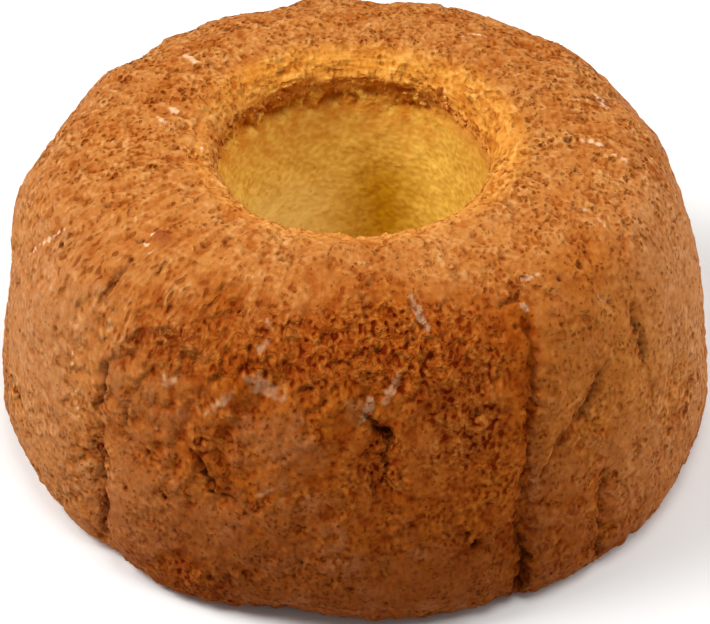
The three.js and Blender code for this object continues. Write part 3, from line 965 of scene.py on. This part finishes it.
def crumbTree():
    tree, given, result = startTree("lipCrumbs", crumbScatter, ("Spots",))
    lip = Wire(tree, namedValue(tree, "tear")).fade(0.3, 0.9)
    fallen = addNode(tree, "GeometryNodeDistributePointsOnFaces",
                     {"Mesh": given.outputs["Geometry"], "Density": lip * Wire(tree, given.outputs["Density"]),
                      "Seed": given.outputs["Seed"]})
    ball = addNode(tree, "GeometryNodeMeshUVSphere",
                   {"Radius": 1.0, "Segments": given.outputs["Segments"], "Rings": given.outputs["Rings"]})
    place = tree.nodes.new("GeometryNodeInputPosition").outputs[0]
    lumps = noiseAt(tree, place, crumbShape["lumpSize"], 2.0, 0.6) * crumbShape["lumpHeight"] - crumbShape["sunken"]
    squeezed = vectorMaths(tree, "MULTIPLY", place, crumbShape["squeeze"])
    crumb = addNode(tree, "GeometryNodeSetPosition",
                    {"Geometry": ball.outputs["Mesh"], "Position": scaled(tree, squeezed, lumps)})
    turned = addNode(tree, "FunctionNodeRandomValue",
                     {"Min": (0.0,) * 3, "Max": (math.tau,) * 3, "Seed": given.outputs["Seed"]},
                     data_type="FLOAT_VECTOR")
    turned = shownSocket(turned.outputs, "Value")

    def strewn(points, reach):
        return addNode(tree, "GeometryNodeInstanceOnPoints",
                       {"Points": points, "Instance": crumb.outputs["Geometry"], "Rotation": turned,
                        "Scale": joinedUp(tree, reach, reach, reach)})

    drawn = addNode(tree, "FunctionNodeRandomValue",
                    {"Min": given.outputs["Smallest"], "Max": given.outputs["Largest"], "Seed": given.outputs["Seed"]},
                    data_type="FLOAT")
    small = strewn(fallen.outputs["Points"], Wire(tree, shownSocket(drawn.outputs, "Value")) * mm)
    spots = addNode(tree, "GeometryNodeObjectInfo", {"Object": given.outputs["Spots"]}).outputs["Geometry"]
    large = strewn(spots, Wire(tree, namedValue(tree, "reach")) * mm)
    together = tree.nodes.new("GeometryNodeJoinGeometry")
    plug(tree, together.inputs[0], small.outputs["Instances"])
    plug(tree, together.inputs[0], large.outputs["Instances"])
    return endTree(tree, given, result, together.outputs[0])


crumbLook = {
    "pale": linear(229, 160, 80),
    "brown": linear(184, 104, 36),
    "toneSize": 2.0,  # mm
    "fineSize": 0.48,  # mm
    "fineHeight": 0.4,  # mm
    "roughness": 0.65,
    "toneRougher": 0.2,
    "specular": 0.07,
}


def crumbMaterial():
    look = crumbLook
    material, tree, shader = newMaterial("looseCrumb")
    place = scaled(tree, tree.nodes.new("ShaderNodeTexCoord").outputs["Object"], 1.0 / mm)
    tone = noiseAt(tree, place, look["toneSize"])
    fine = noiseAt(tree, place, look["fineSize"]) * look["fineHeight"]
    colour = mixColour(tree, tone.fade(0.35, 0.65), look["pale"], look["brown"])
    setLook(tree, shader, colour, tone * look["toneRougher"] + look["roughness"], look["specular"], fine)
    return material


def makeCrumbs(material):
    spots = [(onCrust(angle, tilt), radius, 0.0) for angle, tilt, radius in crumbSpots]
    spotCloud = markCloud("spotCloud", spots)
    crumbs = addObject("lipCrumbs", cakeBody.data)
    scatter = crumbs.modifiers.new("scatter", "NODES")
    scatter.node_group = crumbTree()
    setInputs(scatter, {**crumbScatter, "Spots": spotCloud, "Material": material})
    plainMesh(crumbs)
    bpy.data.objects.remove(spotCloud)
    print("crumbs scattered:", triangleCount(crumbs.data), "triangles")
    return crumbs


lipCrumbs = makeCrumbs(crumbMaterial())
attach(lipCrumbs, "root")


# Stage, light and camera

stageLook = {
    "colour": (0.86, 0.86, 0.85, 1.0),
    "half": 2.5,  # metres
    "sunken": 0.2,  # mm below the cake
    "roughness": 0.8,
    "specular": 0.2,
    "brightness": 0.30,  # of the room's own white light
}


def makeFloor():
    look = stageLook
    half = look["half"]
    level = -look["sunken"] * mm
    mesh = bpy.data.meshes.new("floor")
    mesh.from_pydata([(-half, -half, level), (half, -half, level), (half, half, level), (-half, half, level)],
                     [], [(0, 1, 2, 3)])
    material, tree, shader = newMaterial("paleFloor")
    setLook(tree, shader, look["colour"], look["roughness"], look["specular"])
    mesh.materials.append(material)
    return addObject("floor", mesh)


lampAim = Vector((0.0, 0.0, 0.05))  # metres
lamps = [  # place in metres, size in metres, power in watts
    {"name": "keyLamp", "place": (-0.80, -0.05, 1.00), "size": 0.60, "power": 14.0},
    {"name": "topLamp", "place": (0.15, -0.30, 1.20), "size": 0.50, "power": 5.5},
    {"name": "rightLamp", "place": (1.10, 0.30, 0.55), "size": 0.80, "power": 8.0},
]


def makeLamp(lamp):
    light = bpy.data.lights.new(lamp["name"], "AREA")
    light.size = lamp["size"]
    light.energy = lamp["power"]
    holder = addObject(lamp["name"], light)
    holder.location = lamp["place"]
    holder.rotation_euler = (lampAim - Vector(lamp["place"])).to_track_quat("-Z", "Y").to_euler()


def makeWorld(brightness):
    world = bpy.data.worlds.new("softRoom")
    world.use_nodes = True
    background = world.node_tree.nodes["Background"]
    background.inputs["Color"].default_value = (1.0, 1.0, 1.0, 1.0)
    background.inputs["Strength"].default_value = brightness
    scene.world = world


cameraView = {
    "aim": (0.0, 0.0, 0.0281),  # metres
    "distance": 0.8,  # metres
    "elevation": 39.26,  # degrees
    "lens": 132.1,  # mm
    "sensor": 36.0,  # mm
}


def makeCamera():
    lift = math.radians(cameraView["elevation"])
    aim = Vector(cameraView["aim"])
    place = aim + cameraView["distance"] * Vector((0.0, -math.cos(lift), math.sin(lift)))
    camera = addObject("camera", bpy.data.cameras.new("camera"))
    camera.data.lens = cameraView["lens"]
    camera.data.sensor_width = cameraView["sensor"]
    camera.location = place
    camera.rotation_euler = (aim - place).to_track_quat("-Z", "Y").to_euler()
    scene.camera = camera


makeFloor()
for lamp in lamps:
    makeLamp(lamp)
makeWorld(stageLook["brightness"])
makeCamera()
scene.view_settings.view_transform = "Standard"
print("stage, lamps and camera set")
